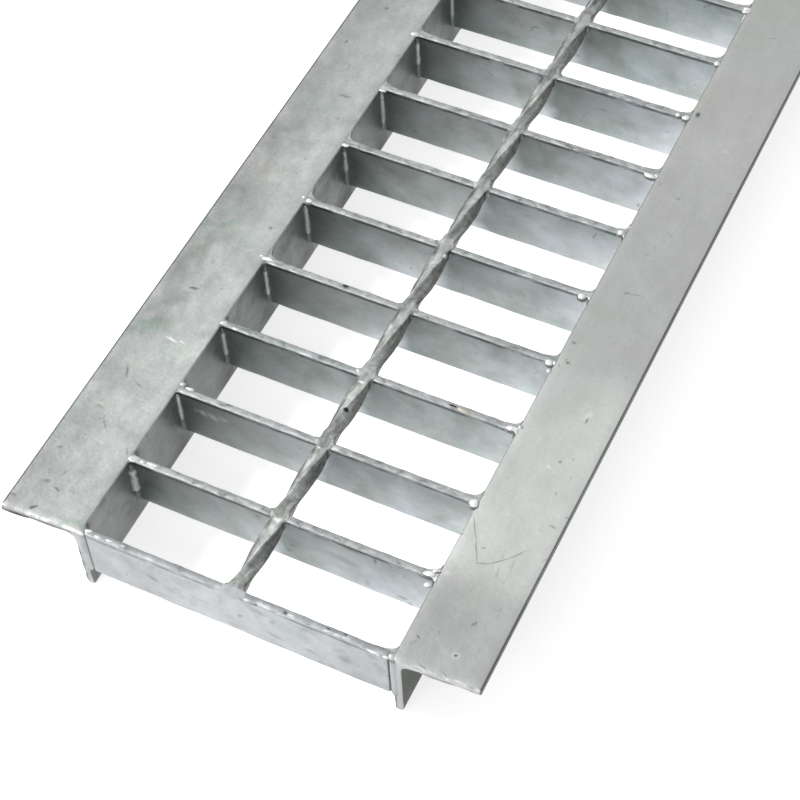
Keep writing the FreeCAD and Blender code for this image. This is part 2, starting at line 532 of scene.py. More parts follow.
LIGHT_MARKS_AND_GLINTS = [
    (171, 339, 5.2, 1.5, -12, 1.0), (182, 342, 2.6, 1.0, -12, 0.7), (456, 656, 3.2, 2.8, 0, 0.5),
    (589, 416, 5.0, 2.4, 80, 0.25), (549, 467, 2.0, 1.4, 0, 0.35), (100, 403, 3.0, 1.0, 0, 0.3),
    (457, 682, 2.6, 1.2, 0, 0.8), (448, 679, 1.4, 1.0, 0, 0.5), (478, 690, 2.4, 0.8, -24, 0.6),
    (205, 300, 9.0, 0.6, 0, 0.2), (140, 399, 10.0, 0.6, 0, 0.2), (726, 152, 3.0, 2.6, 0, 0.2),
    (447, 573, 2.8, 1.5, 0, 0.3),
]

# Scratches on the right flange, from pixel to pixel, with their width in mm and their strength
SCRATCHES = [
    ((474, 517), (476, 540)), ((476, 540), (477, 563)), ((477, 563), (489, 564)), ((489, 564), (508, 559)),
    ((508, 559), (526, 551)), ((577, 572), (583, 566)),
]
SCRATCH_WIDTH = 0.42
SCRATCH_STRENGTH = 0.8

# Tones of each flange's top along its first length, where the right flange's light band is a painted
# reflection, and across it from the leg to the rim, and the painted shade of the legs' inner faces along
# a bay, darkest next to the bars
TONE_LENGTH = 250 * MM
TONE_AND_REFLECTION_ALONG = {
    -1: [(0.02, 0.90), (0.13, 0.88), (0.24, 1.03), (0.60, 0.98)],
    1: [(0.02, 0.92), (0.13, 0.95), (0.20, 1.24), (0.38, 1.32), (0.52, 1.20), (0.63, 1.0)],
}
TONE_ACROSS = {
    -1: [(0.15, 1.05), (0.50, 0.97), (0.80, 0.84), (1.0, 0.82)],
    1: [(0.15, 0.98), (0.50, 1.0), (1.0, 1.0)],
}
LEG_SHADE = [(0.0, 0.38), (0.07, 0.40), (0.12, 0.58), (0.30, 0.68), (0.62, 0.61), (0.95, 0.38)]

# What differs between the two angles: how finely the patches' outlines wander, the width of the painted
# shade along the rim, the glint of the end's edge and the painted shade of its cut face
PATCH_SCALE = {-1: 55.0, 1: 20.0}
RIM_SHADE_WIDTH = {-1: 1.2 * MM, 1: 0.9 * MM}
END_GLINT = {-1: 0.75, 1: 0.30}
CUT_FACE_SHADE = {-1: 0.42, 1: 0.85}

# Marks on the faces of the first three bars: column, row, length, height, turn and strength
FRONT_FACE_DARK = [
    (152, 578, 5.0, 2.2, 30, 0.55), (170, 590, 5.0, 2.6, 20, 0.35), (258, 612, 8.0, 3.4, 10, 0.45),
    (253, 604, 3.0, 2.2, 0, 0.6), (275, 636, 7.0, 2.2, 10, 0.5), (310, 651, 4.0, 1.8, 0, 0.5),
    (330, 665, 4.0, 2.0, 0, 0.4), (272, 622, 2.0, 3.0, 20, 0.5), (345, 660, 5.0, 2.4, 0, 0.35),
    (200, 600, 6.0, 1.6, 10, 0.25), (240, 626, 5.0, 1.2, 0, 0.4), (166, 596, 8.0, 0.9, 0, 0.4),
    (120, 575, 6.0, 1.0, 0, 0.3), (300, 628, 5.0, 2.0, 0, 0.3),
]
FRONT_FACE_LIGHT = [
    (262, 607, 7.0, 0.9, 4, 0.5), (280, 615, 4.0, 0.8, 0, 0.6), (120, 545, 10.0, 0.8, 4, 0.6),
    (290, 618, 3.0, 1.4, 0, 0.2),
]
NEXT_FACE_DARK = [
    (352, 550, 9.0, 3.0, 10, 0.6), (375, 561, 1.4, 3.4, 0, 0.9), (340, 558, 14.0, 3.6, 8, 0.35),
    (403, 598, 3.4, 2.2, 0, 0.9), (410, 604, 2.6, 1.6, 0, 0.7), (292, 545, 3.0, 2.2, 0, 0.6),
    (320, 538, 6.0, 1.4, 8, 0.7), (368, 583, 2.4, 3.0, 0, 0.3),
]
THIRD_FACE_LIGHT = [
    (203, 413, 3.4, 3.0, 10, 0.60), (213, 417, 5.0, 3.0, 20, 0.45), (224, 420, 5.0, 3.0, 0, 0.30),
    (197, 411, 3.4, 2.4, 0, 0.30),
]

# Tones of the bars: painted shade and light on their faces from the left leg to the right one and from
# the top down, blotches on them, the front bar's face from leg to leg, and flecks on the tops
BAR_LIGHT_AND_SHADE = [
    (0.02, (0.40, 0.44, 0.41)), (0.12, (0.54, 0.58, 0.55)), (0.30, (0.94, 0.97, 0.95)),
    (0.47, (1.08, 1.10, 1.12)), (0.53, (0.50, 0.54, 0.53)), (0.64, (0.70, 0.73, 0.72)),
    (0.84, (1.16, 1.18, 1.20)), (0.98, (1.46, 1.48, 1.51)),
]
DEPTH_LIGHT_AND_SHADE = [(0.05, 0.80), (0.45, 0.92), (0.95, 1.16)]
BLOTCH_TONE = [
    (0.34, (0.80, 0.83, 0.79)), (0.47, (0.97, 0.98, 0.96)), (0.55, (1.02, 1.02, 1.03)),
    (0.68, (1.12, 1.12, 1.16)),
]
FRONT_TONE = [(0.05, 0.77), (0.40, 0.91), (0.60, 0.90), (0.95, 0.78)]
FLECK_TONE = [
    (0.32, (0.54, 0.56, 0.55)), (0.44, (0.98, 0.98, 0.97)), (0.58, (1.16, 1.16, 1.15)),
    (0.68, (1.48, 1.48, 1.47)),
]

# Burr and pits on the tops of bars, and bright streaks on the front bar's top that are painted highlights
BURR = (464, 411)
BURR_BAR = 3
BURR_STAIN = [(*BURR, 6.4, 1.8)]
TOP_PITS = [(346, 285.5, 2.4, 2.2), (453, 406, 3.4, 0.9)]
FRONT_TOP_PITS = [(285, 613, 1.9, 1.6), (329, 628.5, 1.6, 0.7), (346, 634.5, 1.3, 0.8), (255, 605, 2.2, 0.8)]
FRONT_TOP_HIGHLIGHTS = [
    (327, 631, 3.0, 0.9), (336, 634.5, 4.4, 0.7), (345, 638, 2.6, 0.5), (370, 650, 3.0, 0.6),
    (377, 654, 1.6, 0.8), (290, 615, 2.0, 0.6), (246, 600, 2.0, 0.6),
]

# Streaks, blotches, holes and glints of the rod
STREAK_TONE = [
    (0.36, (0.64, 0.65, 0.63)), (0.46, (0.91, 0.92, 0.91)), (0.56, (1.03, 1.03, 1.01)),
    (0.65, (1.30, 1.29, 1.26)),
]
ROD_BLOTCHES = [(0.34, 0.70), (0.50, 1.0), (0.66, 1.24)]
ROD_HOLES = [(346, 409, 2.2, 1.8, 23, 1.0), (445, 261, 1.6, 1.8), (450, 252, 1.3, 1.3)]
ROD_GLINTS = [
    (277, 520, 3.0, 1.6, 11.5, 0.8), (319, 448, 2.0, 1.0, 11.5, 0.7), (446, 256, 2.4, 1.6, 11.5, 1.0),
    (362, 382, 2.4, 1.2, 11.5, 0.7),
]


def top_spots(rows, side=0, height=3.0):
    """Marks on the top plane of both sides or of one, from a table's rows."""
    spots = []
    for column, row, length, width, *rest in rows:
        turn, strength = rest or (0, 1.0)
        place = seen_point(column, row)
        if place.x * side >= 0:
            spots.append((place, (length, width, height), (0, 0, turn), strength))
    return spots


def face_spots(bar, rows):
    """Marks on a bar's front face, from a table's rows."""
    face = bar_middle(bar) - BAR_THICKNESS / 2
    return [
        (seen_point(column, row, 1, face), (length, 3, height), (0, turn, 0), strength)
        for column, row, length, height, turn, strength in rows
    ]


def scratch_spots(side):
    """The scratches on one side as thin marks between their ends."""
    spots = []
    for start, end in SCRATCHES:
        first = seen_point(*start)
        last = seen_point(*end)
        run = last - first
        turn = math.degrees(math.atan2(run.y, run.x))
        if first.x * side >= 0:
            size = (run.length / MM + 0.5, SCRATCH_WIDTH, 3)
            spots.append(((first + last) / 2, size, (0, 0, turn), SCRATCH_STRENGTH))
    return spots


def paint_angle(paint, side):
    """The flanges' tones, marks and painted reflection, and painted shade on the legs and the undersides."""
    top = paint.at_depth(1.2, 0.5)
    loose = paint.shifted(paint.place, PATCH_SCALE[side], 0.022)
    tight = paint.shifted(paint.place, 520.0, 0.0014)
    thin = paint.shifted(paint.place, 260.0, 0.0006)

    def on_top(coordinates, rows, inner, outer):
        """Mask of one table's marks on this side."""
        return paint.both(paint.marks(coordinates, top_spots(rows, side, 4.0), inner, outer), top)

    paint.shade(on_top(loose, LIGHT_PATCHES, 0.2, 1.5), (1.34, 1.34, 1.30))
    paint.shade(on_top(loose, DARK_PATCHES, 0.3, 1.5), (0.72, 0.75, 0.74))
    paint.shade(on_top(loose, BROWN_PATCHES, 0.3, 1.4), (1.04, 1.0, 0.90))
    paint.shade(on_top(loose, GREEN_PATCHES, 0.3, 1.4), (0.86, 0.97, 0.91))
    # Light marks and halos, and painted glints on the right flange's front edge
    paint.lay(on_top(tight, LIGHT_MARKS_AND_GLINTS, 0.4, 1.5), (0.80, 0.81, 0.80))
    # Dark marks, and painted shade in the corners behind the first bars at the left leg
    paint.shade(on_top(tight, DARK_MARKS_AND_SHADE, 0.3, 1.6), (0.26, 0.29, 0.27))

    across = paint.maths("ABSOLUTE", paint.x)
    along = paint.share(paint.y, FRONT_END, TONE_LENGTH)
    # Tone along each flange, and on the right flange a light band that is a painted reflection
    paint.shade(top, paint.ramp(along, TONE_AND_REFLECTION_ALONG[side], True))
    outward = paint.share(across, LEG_FACE, RIM - LEG_FACE)
    paint.shade(top, paint.ramp(outward, TONE_ACROSS[side], True))
    scratches = paint.marks(thin, scratch_spots(side), 0.5, 1.5)
    paint.shade(paint.both(scratches, top), (0.42, 0.44, 0.42))

    inner = paint.both(paint.at_depth(0.3, 1.0), paint.rise(across, LEG_FACE + 1.0 * MM, LEG_FACE + 0.4 * MM))
    bay = paint.maths("FRACT", paint.share(paint.y, FRONT_END, PITCH))
    # Painted shade on the legs' inner faces, darkest next to the bars
    paint.shade(inner, paint.ramp(bay, LEG_SHADE, True))
    stains = paint.rise(paint.noise(paint.place, 62.0, 4.0, 0.6, 1.0), 0.50, 0.64)
    paint.shade(paint.both(inner, stains), (0.74, 0.78, 0.75))
    if side < 0:
        # Painted shade in the corner just behind each bar, high on the left leg's inner face
        behind_bar = paint.both(paint.rise(bay, 0.21, 0.12), paint.rise(bay, 0.05, 0.08))
        paint.shade(paint.both(behind_bar, paint.at_depth(6.5, 3.0), inner), (0.40, 0.42, 0.40))

    # Y with the skew of the saw cuts taken out, counted from the ends outward
    skew = paint.both(paint.maths("SUBTRACT", paint.x, side * LEG_FACE), END_SKEW)
    ends = paint.maths("SUBTRACT", paint.maths("ABSOLUTE", paint.maths("SUBTRACT", paint.y, skew)), BACK_END)
    # Painted shade on the legs' outer faces and the flanges' undersides, deeper near the front end
    outside_leg = paint.rise(across, LEG_FACE + 2.6 * MM, LEG_FACE + 3.0 * MM)
    shade_under_flange = paint.both(paint.at_depth(1.4, 2.4), outside_leg, paint.rise(ends, -0.15 * MM, -0.6 * MM))
    paint.shade(shade_under_flange, (0.42, 0.44, 0.42))
    near_front = paint.rise(paint.y, FRONT_END + 110 * MM, FRONT_END + 50 * MM)
    paint.shade(paint.both(shade_under_flange, near_front), (0.34, 0.35, 0.33))

    # Painted shade along the rim's outer edge
    paint.shade(paint.rise(across, RIM - RIM_SHADE_WIDTH[side], RIM - 0.45 * MM), (0.28, 0.29, 0.28))
    if side > 0:
        heel = paint.rise(across, LEG_FACE + 0.8 * MM, LEG_FACE + 0.35 * MM)
        paint.shade(paint.both(heel, 0.9), (0.50, 0.51, 0.50))
    broken = paint.rise(paint.noise(paint.place, 230.0, 2.0, 0.5, 0.5), 0.44, 0.56)
    edge = paint.both(paint.rise(ends, -1.1 * MM, -0.5 * MM), broken, top)
    paint.lay(paint.both(edge, END_GLINT[side]), (0.84, 0.85, 0.85))
    cut = paint.both(paint.rise(ends, -0.45 * MM, -0.2 * MM), paint.at_depth(0.7, 1.5))
    foot = paint.rise(across, LEG_FACE + 5.5 * MM, LEG_FACE + 3.2 * MM)
    paint.shade(paint.both(cut, foot), 0.80)
    # Painted shade on the flange's cut end, deep on the left angle
    paint.shade(paint.both(cut, paint.maths("SUBTRACT", 1.0, foot)), CUT_FACE_SHADE[side])


def speckle_tops(paint, shadow, contrast):
    """Uneven light and dark zinc along a bar's top, with a broken painted shadow under its lips."""
    squeezed = paint.scaled(paint.place, (0.5, 1.0, 1.0))
    flecks = paint.noise(squeezed, 420.0, 3.0, 0.6, 0.6)
    paint.shade(paint.both(paint.at_depth(0.55, 0.25), contrast), paint.ramp(flecks, FLECK_TONE))
    # Painted shadow under the lips, broken by noise
    line = paint.both(paint.at_depth(2.5, 1.2), paint.at_depth(0.35, 0.7))
    broken = paint.rise(paint.noise(squeezed, 150.0, 3.0, 0.6), 0.32, 0.54)
    paint.shade(paint.both(line, broken, shadow), (0.27, 0.29, 0.28))


def paint_bars(paint):
    """Bars that stand between others: painted shade towards the left leg, dark green-grey, and painted light
    at the right, pale.
    """
    uneven = paint.noise(paint.place, 45.0, 3.0, 0.5, 0.6)
    share = paint.share(paint.x, -0.84 * LEG_FACE, 2 * LEG_FACE)
    share = paint.maths("ADD", share, paint.both(uneven, 0.16))
    face = paint.at_depth(0.3, 0.8)
    # Painted shade and light: dark by the left leg and just right of the rod, pale by the right leg and low
    # down
    paint.shade(face, paint.ramp(share, BAR_LIGHT_AND_SHADE))
    paint.shade(face, paint.ramp(paint.share(paint.z, TOP, -BAR_DEPTH), DEPTH_LIGHT_AND_SHADE))
    blotches = paint.noise(paint.place, 60.0, 3.0, 0.5, 0.3)
    paint.shade(face, paint.ramp(blotches, BLOTCH_TONE))
    cloudy = paint.shifted(paint.place, 260.0, 0.0026)
    paint.shade(paint.marks(cloudy, face_spots(1, NEXT_FACE_DARK), 0.1, 1.7), (0.38, 0.41, 0.38))
    paint.lay(paint.marks(cloudy, face_spots(2, THIRD_FACE_LIGHT), 0.1, 1.6), (0.66, 0.68, 0.67))
    speckle_tops(paint, 1.0, 1.0)
    tight = paint.shifted(paint.place, 420.0, 0.0022)
    paint.lay(paint.marks(tight, top_spots(BURR_STAIN)), (0.56, 0.53, 0.46))
    still = paint.shifted(paint.place, 520.0, 0.0007)
    paint.shade(paint.marks(still, top_spots(TOP_PITS)), 0.10)


def paint_front_bar(paint):
    """The front bar: pale lavender grey with smudges and small pits, painted shade at its lower edge, groove
    and lips, and painted highlights on its top.
    """
    smudges = paint.noise(paint.place, 85.0, 3.0, 0.5, 1.0)
    paint.shade(paint.rise(smudges, 0.50, 0.68), (0.80, 0.83, 0.82))
    tight = paint.shifted(paint.place, 420.0, 0.0022)
    paint.lay(paint.marks(tight, face_spots(0, FRONT_FACE_LIGHT)), (0.84, 0.84, 0.85))
    cloudy = paint.shifted(paint.place, 260.0, 0.0026)
    paint.shade(paint.marks(cloudy, face_spots(0, FRONT_FACE_DARK), 0.1, 1.7), (0.42, 0.45, 0.44))
    lower_edge = TOP - BAR_DEPTH
    # Painted shade along the lower edge of the face
    paint.shade(paint.rise(paint.z, lower_edge + 1.2 * MM, lower_edge + 0.2 * MM), 0.66)
    paint.shade(1.0, paint.ramp(paint.share(paint.x, -LEG_FACE, 2 * LEG_FACE), FRONT_TONE))
    to_leg = paint.maths("SUBTRACT", LEG_FACE, paint.maths("ABSOLUTE", paint.x))
    off_groove = paint.maths("ABSOLUTE", paint.maths("SUBTRACT", to_leg, GROOVE_PLACE))
    # Painted shade in the groove between the bar and the weld
    groove = paint.both(paint.rise(off_groove, 0.55 * MM, 0.2 * MM), paint.at_depth(0.8, 1.8))
    paint.shade(groove, (0.36, 0.42, 0.38))
    speckle_tops(paint, 0.7, 0.45)
    still = paint.shifted(paint.place, 620.0, 0.0014)
    # Painted highlights along the top
    streaks = paint.both(paint.marks(still, top_spots(FRONT_TOP_HIGHLIGHTS), 0.2, 1.7), 0.75)
    paint.lay(streaks, (0.86, 0.86, 0.86))
    paint.shade(paint.marks(still, top_spots(FRONT_TOP_PITS), 0.5, 1.5), (0.25, 0.25, 0.235))


def paint_rod(paint):
    """Worn streaks along the twist, painted highlights on its crests and right flank, and painted shade in
    the hollows where the rod meets the bars and along its sides.
    """
    drawn = paint.attribute("drawn", "Vector")
    streaks = paint.noise(paint.shifted(drawn, 300.0, 0.0014), 520.0, 3.0, 0.6, 0.3)
    paint.shade(1.0, paint.ramp(streaks, STREAK_TONE))
    blotches = paint.noise(paint.place, 240.0, 3.0, 0.6, 0.8)
    paint.shade(1.0, paint.ramp(blotches, ROD_BLOTCHES))
    # Painted highlight on the crests of the twist
    paint.shade(paint.both(paint.attribute("crest"), 0.4), (1.5, 1.5, 1.48))
    # Painted light on the rod's right flank below its top
    right_flank_light = paint.both(paint.at_depth(0.7, 2.8), paint.rise(paint.x, 0.2 * MM, 1.4 * MM))
    paint.shade(right_flank_light, (1.35, 1.34, 1.32))
    # Painted shade in the hollows by the bars and along the rod's sides
    paint.shade(paint.attribute("hollow"), (0.16, 0.16, 0.15))
    on_front_bar = paint.rise(paint.y, FRONT_END + 3.4 * MM, FRONT_END + 2.6 * MM)
    paint.lay(on_front_bar, (0.44, 0.455, 0.47))
    ragged = paint.shifted(paint.place, 560.0, 0.0024)
    paint.lay(paint.marks(ragged, top_spots(ROD_GLINTS), 0.4, 1.5), (0.86, 0.86, 0.85))
    tight = paint.shifted(paint.place, 700.0, 0.0009)
    paint.shade(paint.marks(tight, top_spots(ROD_HOLES, height=5.0)), 0.05)


def paint_welds(paint):
    """Bright lumps with a painted highlight, dark rings round them as painted shade, pits, and fillets of the
    bars' own grey with painted shade on their walls.
    """
    highlight_and_pale_zinc = paint.attribute("highlight_and_pale_zinc")
    # Pale zinc with a painted highlight on the lumps and beads
    paint.lay(paint.rise(highlight_and_pale_zinc, 0.0, 1.0), (0.88, 0.885, 0.875))
    dull = paint.rise(highlight_and_pale_zinc, 0.05, 0.01)
    # Painted shade on the walls of the fillets and collars, under their tops
    paint.shade(paint.both(paint.at_depth(0.25, 0.9), dull), (0.34, 0.36, 0.34))
    paint.shade(dull, (0.80, 0.81, 0.80))
    pits = paint.noise(paint.place, 620.0, 2.0, 0.5, 0.5)
    paint.shade(paint.rise(pits, 0.62, 0.70), (0.68, 0.69, 0.67))
    # Painted shade: collars round bright lumps, fillets behind some left bars and upper rings of some beads
    paint.shade(paint.attribute("painted_shade"), (0.26, 0.27, 0.26))
    paint.shade(paint.at_depth(2.0, 9.0), (0.80, 0.84, 0.81))


LEFT_ZINC = galvanised(
    "zinc_on_left_angle", (0.465, 0.485, 0.475), (0.575, 0.59, 0.58), (0.90, 0.96, 0.93),
    (1.0, 0.5, 1.0), 26.0, 0.65, partial(paint_angle, side=-1), (0.8, 0.5))
RIGHT_ZINC = galvanised(
    "zinc_on_right_angle", (0.495, 0.51, 0.50), (0.550, 0.560, 0.550), (0.95, 0.98, 0.95),
    (1.0, 0.4, 1.0), 14.0, 0.65, partial(paint_angle, side=1), (0.30, 0.25))
BAR_ZINC = galvanised(
    "zinc_on_bars", (0.38, 0.395, 0.40), (0.48, 0.495, 0.505), (0.84, 0.90, 0.88),
    (0.7, 1.0, 1.2), 34.0, 0.65, paint_bars, (0.4, 0.3))
FRONT_BAR_ZINC = galvanised(
    "zinc_on_front_bar", (0.45, 0.465, 0.48), (0.52, 0.535, 0.555), (0.88, 0.94, 0.92),
    (1.0, 1.0, 1.2), 44.0, 0.65, paint_front_bar, (0.4, 0.3))
ROD_ZINC = galvanised(
    "zinc_on_rod", (0.32, 0.335, 0.33), (0.41, 0.425, 0.42), (0.93, 0.96, 0.91),
    (1.0, 1.0, 1.0), 110.0, 0.38, paint_rod, (0.5, 0.6), (0.48, 0.60))
WELD_ZINC = galvanised(
    "zinc_on_welds", (0.48, 0.49, 0.48), (0.60, 0.61, 0.60), (0.92, 0.96, 0.92),
    (1.0, 1.0, 1.0), 160.0, 0.40, paint_welds, (0.5, 0.5), (0.40, 0.52))


# Side angles

def angle_skin(side):
    """One L-angle with softened edges, a ragged end cut and a slightly uneven zinc surface."""
    outer = LEG_FACE + ANGLE_THICKNESS
    under = TOP - ANGLE_THICKNESS
    corners = [
        (LEG_FACE, TOP, 0.7 * MM),
        (LEG_FACE, 0.0, 1.1 * MM),
        (outer, 0.0, TOE_RADIUS),
        (outer, under, ROOT_RADIUS),
        (RIM, under, 0.8 * MM),
        (RIM, TOP, 0.5 * MM),
    ]
    loop = anticlockwise(rounded_loop(corners, ANGLE_STEP))
    plain = LENGTH - 2 * END_EDGE
    count = round(plain / ANGLE_STEP)
    softened = [(0.0, END_EDGE), (0.3 * END_EDGE, 0.3 * END_EDGE), (END_EDGE, 0.0)]
    spans = softened + [(END_EDGE + plain * k / count, 0.0) for k in range(1, count)]
    spans += [(LENGTH - offset, depth) for offset, depth in reversed(softened)]
    rings = []
    for offset, depth in spans:
        near_end = max(0.0, 1 - min(offset, LENGTH - offset) / RAGGED_DEPTH)
        ring = []
        for flat, height in inset(loop, depth):
            y = FRONT_END + offset + side * END_SKEW * (flat - LEG_FACE)
            y += near_end * ripple((flat, height, offset * 0.01), 5 * MM, RAGGED_HEIGHT, side * 3.1)
            point = Vector((side * flat, y, height))
            point.z += ripple(point, 38 * MM, 0.10 * MM, 1.7 * side) * (height / TOP)
            ring.append(point)
        rings.append(ring)
    mesh_data = ([], [])
    add_rings(mesh_data, rings)
    node = "angle_right" if side > 0 else "angle_left"
    material = RIGHT_ZINC if side > 0 else LEFT_ZINC
    return make_piece(node + "_skin", mesh_data, material, [node])


# Flat bars

def bar_stations(open_face):
    """Places along a bar where its skin has a ring, closer at the ends of an end bar."""
    reach = LEG_FACE + (END_BAR_OVERLAP if open_face else BAR_OVERLAP)
    count = round(2 * reach / BAR_STEP)
    stations = [-reach + 2 * reach * k / count for k in range(count + 1)]
    if open_face:
        close = [reach - END_BAR_STEP * k for k in range(16)]
        between = [x for x in stations if abs(x) < close[-1] - 0.3 * MM]
        stations = sorted(between + close + [-x for x in close])
    return stations


def bar_skin(index):
    """One flat bar: soft edges, an uneven lip at its top edges, and ends that turn into the legs."""
    middle = bar_middle(index)
    half = BAR_THICKNESS / 2
    open_face = {0: -1, BAR_COUNT - 1: 1}.get(index, 0)
    corners = [
        (-half, TOP, 0.45 * MM),
        (-half, TOP - BAR_DEPTH, 0.5 * MM),
        (half, TOP - BAR_DEPTH, 0.5 * MM),
        (half, TOP, 0.5 * MM),
    ]
    loop = rounded_loop(corners, BAR_LOOP_STEP, 3)
    stations = bar_stations(open_face)
    reach = stations[-1]
    rings = []
    for x in stations:
        to_leg = max(0.0, LEG_FACE - abs(x))
        fill = corner_fill(to_leg, 1.0 * MM)
        clear = clamped((abs(x) - ROD_SIDE / 2) / (3.0 * MM))
        groove = GROOVE_DEPTH * max(0.0, 1 - abs(to_leg - GROOVE_PLACE) / GROOVE_HALF_WIDTH)
        if abs(x) > LEG_FACE - 1.0 * MM:
            groove -= 0.28 * MM * math.sin(math.pi * min(1.0, (reach - abs(x)) / (2.2 * MM)))
        ring = []
        for across, height in loop:
            place = (x, middle + across * 3, height)
            face = 1 if across > 0 else -1
            y = across - face * groove if face == open_face else across + face * fill
            y += ripple(place, 16 * MM, 0.12 * MM, 0.37 * index) * -face
            z = height
            if height > TOP - 1.2 * MM:
                lump = max(0.0, ripple(place, 5 * MM, 1.0, 0.9))
                lump += 0.4 * max(0.0, ripple(place, 2.2 * MM, 1.0, 2.2))
                y += face * RUN_HEIGHT * lump
            if height > TOP - 0.3 * MM:
                lip = bell(abs(across) - half + 0.45 * MM, 0.5 * MM)
                strength = 1.0 if across < 0 else 0.4
                z += strength * lip * clear * (0.14 * MM + RUN_HEIGHT * lump) - 0.1 * MM
                if open_face == face:
                    z -= max(0.0, groove) * 0.4
            if height < TOP - BAR_DEPTH + 1.0 * MM:
                z += ripple(place, 9 * MM, 0.25 * MM, 0.61 * index) - fill
            ring.append(Vector((x, middle + y, z)))
        rings.append(ring)
    mesh_data = ([], [])
    add_rings(mesh_data, rings)
    if index == BURR_BAR:
        add_lump(mesh_data, seen_point(*BURR), (2.9 * MM, 0.8 * MM, 0.5 * MM), 0.0, 3.0)
    node = bar_node(index)
    material = FRONT_BAR_ZINC if index == 0 else BAR_ZINC
    return make_piece(node + "_skin", mesh_data, material, [node])


# Twisted rod

def rod_outline(half, soft, across=7, corner=4):
    """Directions and reaches of a soft-cornered square, from the middle of its right side."""
    spots = []
    flat = half - soft
    for quarter in range(4):
        base = quarter * math.pi / 2
        for step in range(across):
            side = -flat + 2 * flat * step / across
            spots.append((base + math.atan2(side, half), math.hypot(half, side)))
        for step in range(corner):
            bend = math.pi / 2 * step / corner
            x = flat + soft * math.cos(bend)
            z = flat + soft * math.sin(bend)
            spots.append((base + math.atan2(z, x), math.hypot(x, z)))
    return spots


def rectangle_reach(angle, half_width, above, below):
    """Distance from a point in a rectangle to its outline."""
    across = abs(math.cos(angle))
    height = math.sin(angle)
    limits = []
    if across > 1e-9:
        limits.append(half_width / across)
    if height > 1e-9:
        limits.append(above / height)
    if height < -1e-9:
        limits.append(below / -height)
    return min(limits)


def flare_reach(bar, end, side):
    """How far the metal squeezed out at a bar stands out from the rod, on one side of one face."""
    draw = random.Random(1000 + 10 * bar + 4 * end + side)
    if bar == 0:
        return 3.8 * MM if side < 0 else 2.0 * MM
    return draw.uniform(1.3, 2.6) * MM if end > 0 else draw.uniform(0.8, 1.8) * MM


def rod_turn(bay, y):
    """Turn of the rod's section at a place: as a whole, and within its bay."""
    bay_number = math.floor(bay)
    twist_length = PITCH - BAR_THICKNESS - 2 * PRESSED_LENGTH
    share = clamped(((bay - bay_number) * PITCH - BAR_THICKNESS / 2 - PRESSED_LENGTH) / twist_length)
    wander = 0.16 * noise.noise(Vector((y / (30 * MM), 5.5, 0.3)))
    part = math.pi / 2 * (share + 0.05 * math.sin(2 * math.pi * share)) + wander * math.sin(math.pi * share)
    return part + bay_number * math.pi / 2, part


def hollow_shade(to_face, end, side, x, slope):
    """Painted shade in the hollows in front of a bar: under the right flare, and along the left side."""
    if to_face <= 0 or end > 0:
        return 0.0
    if side > 0:
        return bell(to_face - 1.5 * MM, 1.1 * MM) * clamped((0.88 - slope) / 0.25)
    return 0.9 * clamped((-x - ROD_SIDE / 2 + 1.1 * MM) / (0.7 * MM)) * bell(to_face - 3.0 * MM, 3.5 * MM)


def rod_skin():
    """The twisted rod: a quarter turn a bay, pressed square at each bar and flared against it."""
    half = ROD_SIDE / 2
    outline = rod_outline(half, ROD_EDGE_RADIUS)
    start = FRONT_END + 0.1 * MM
    length = 2 * abs(start)
    count = round(length / ROD_STEP)
    rings = []
    crests = []
    hollows = []
    drawn = []
    for k in range(count + 1):
        y = start + length * k / count
        bay = (y - bar_middle(0)) / PITCH
        nearest = min(BAR_COUNT - 1, max(0, round(bay)))
        end = 1 if y > bar_middle(nearest) else -1
        to_face = abs(y - bar_middle(nearest)) - BAR_THICKNESS / 2
        turn, part = rod_turn(bay, y)
        half_height = half * (abs(math.cos(part)) + abs(math.sin(part))) - 0.20 * MM * abs(math.sin(2 * part))
        pressed = bell(max(to_face, 0.0), 2.0 * MM)
        width = 1 + ROD_THICKER * (1 - pressed)
        centre = TOP - half_height + (0.16 * pressed - 0.05) * MM
        ring = []
        for base, plain in outline:
            angle = base - turn
            side = 1 if math.cos(angle) > 0 else -1
            flare = corner_fill(max(to_face, 0.0), flare_reach(nearest, end, side))
            reach = plain
            if flare > 0.02 * MM:
                reach = max(plain, rectangle_reach(angle, half + flare, half, 1.6 * MM))
            x = reach * math.cos(angle) * width - ROD_OFFSET * (1 - pressed)
            z = reach * math.sin(angle)
            place = (x, y, z)
            swell = 1 + ripple(place, 7 * MM, 0.07) + ripple(place, 2.6 * MM, 0.035, 4.0)
            ring.append(Vector((x * swell, y, min(TOP + 0.45 * MM, centre + z * swell))))
            # Crests of the twist, for their painted highlight
            corner_like = clamped((plain - 1.2 * half) / (0.12 * half))
            crests.append(corner_like * (0.35 + 1.2 * abs(ripple(place, 5 * MM, 1.0, 8.0))))
            drawn.extend((plain * math.cos(base), plain * math.sin(base), 0.13 * y))
            # Painted shade along the rod's sides away from the bars, and in the hollows in front of them
            rim = clamped((abs(x + ROD_OFFSET) - half * width + 0.8 * MM) / (0.5 * MM))
            outline_shade = (0.45 if x > 0 else 0.65) * rim * (1 - pressed)
            hollows.append(max(hollow_shade(to_face, end, side, x, math.sin(angle)), outline_shade))
        rings.append(ring)
    mesh_data = ([], [])
    add_rings(mesh_data, rings)
    piece = make_piece("twisted_rod_skin", mesh_data, ROD_ZINC, ["twisted_rod"])
    keep_values(piece, "crest", crests)
    keep_values(piece, "hollow", hollows)
    piece.data.attributes.new("drawn", "FLOAT_VECTOR", "POINT").data.foreach_set("vector", drawn)
    return piece


# Welds

